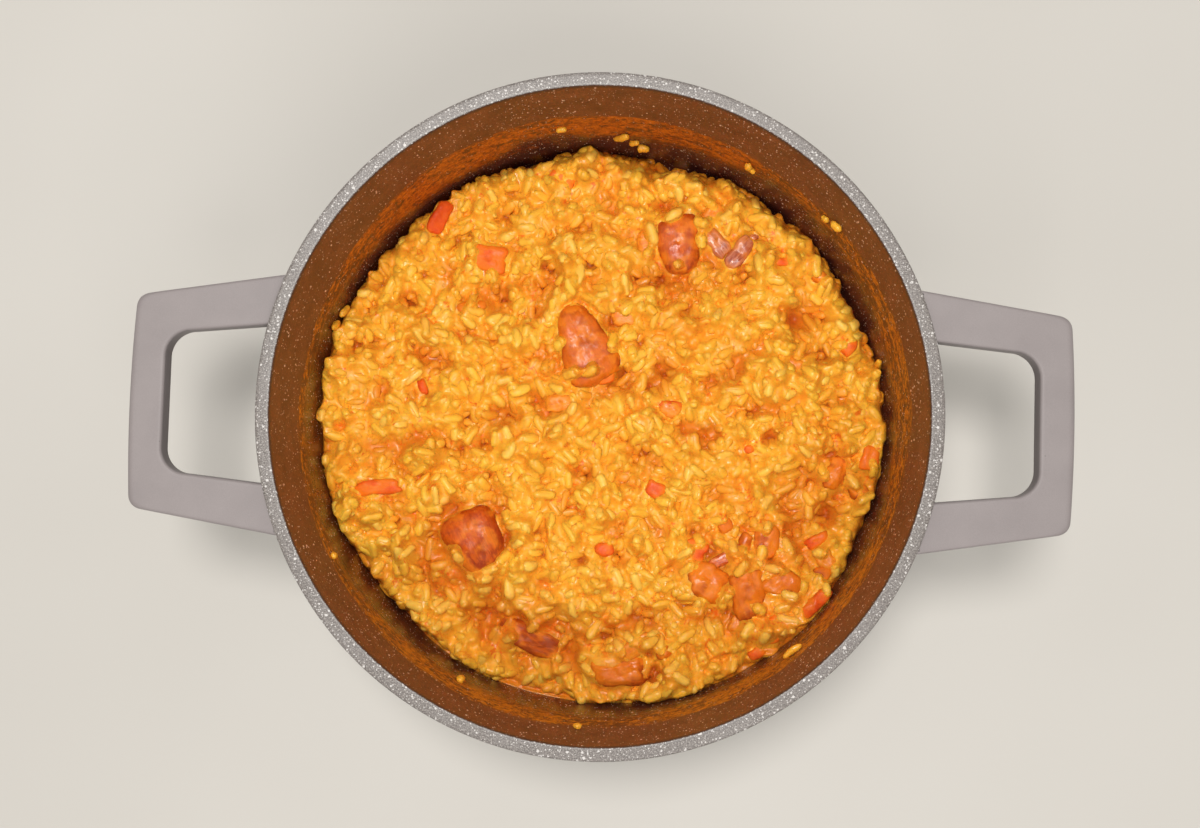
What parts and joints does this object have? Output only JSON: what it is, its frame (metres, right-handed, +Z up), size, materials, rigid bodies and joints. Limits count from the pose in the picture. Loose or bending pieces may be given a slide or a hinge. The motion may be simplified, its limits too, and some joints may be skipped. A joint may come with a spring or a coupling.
{
  "type": "pan of rice with chorizo",
  "caption": "Round two-handled cooking pan, half full of saucy orange rice with chunks of chorizo and red pepper.",
  "frame": {"origin": "centre of the pan's flat base, on the surface it stands on", "axes": "+Z up along the pan's axis; the two handles lie on +X and -X; the front of the pan is -Y"},
  "size_m": [0.3448, 0.2504, 0.115],
  "materials": {
    "pan_coating": "satin grey stone-effect non-stick coating with pale speckles; the inside is stained brown with an orange tide mark",
    "handle_coating": "smooth matte warm grey coating",
    "rice": "moist cooked short-grain rice, orange-yellow, in a glossy orange sauce",
    "chorizo": "stewed chorizo, glossy orange-red with paler fat marbling",
    "chorizo_skin": "dark red glossy chorizo skin",
    "onion": "soft translucent stewed onion, tinted pink-orange",
    "pepper": "stewed red pepper, glossy orange-red"
  },
  "bodies": {
    "root": {"pan_body": "pan_coating", "handle_right": "handle_coating", "handle_left": "handle_coating", "rice_mass": "rice", "chorizo_upper_right": "chorizo", "chorizo_centre": "chorizo", "chorizo_large": "chorizo", "chorizo_cluster_left": "chorizo", "chorizo_cluster_middle": "chorizo", "chorizo_cluster_right": "chorizo", "chorizo_skin_strip": "chorizo_skin", "chorizo_cluster_back": "chorizo", "chorizo_front": "chorizo", "chorizo_right": "chorizo", "chorizo_right_outer": "chorizo", "chorizo_sunk": "chorizo", "onion_left": "onion", "onion_right": "onion", "pepper_upper_left": "pepper", "pepper_at_wall": "pepper", "pepper_left": "pepper", "pepper_right_upper": "pepper", "pepper_right_edge": "pepper", "pepper_right_lower": "pepper", "pepper_upper_right": "pepper", "pepper_middle": "pepper", "pepper_back": "pepper", "pepper_right": "pepper"}
  },
  "joints": []
}
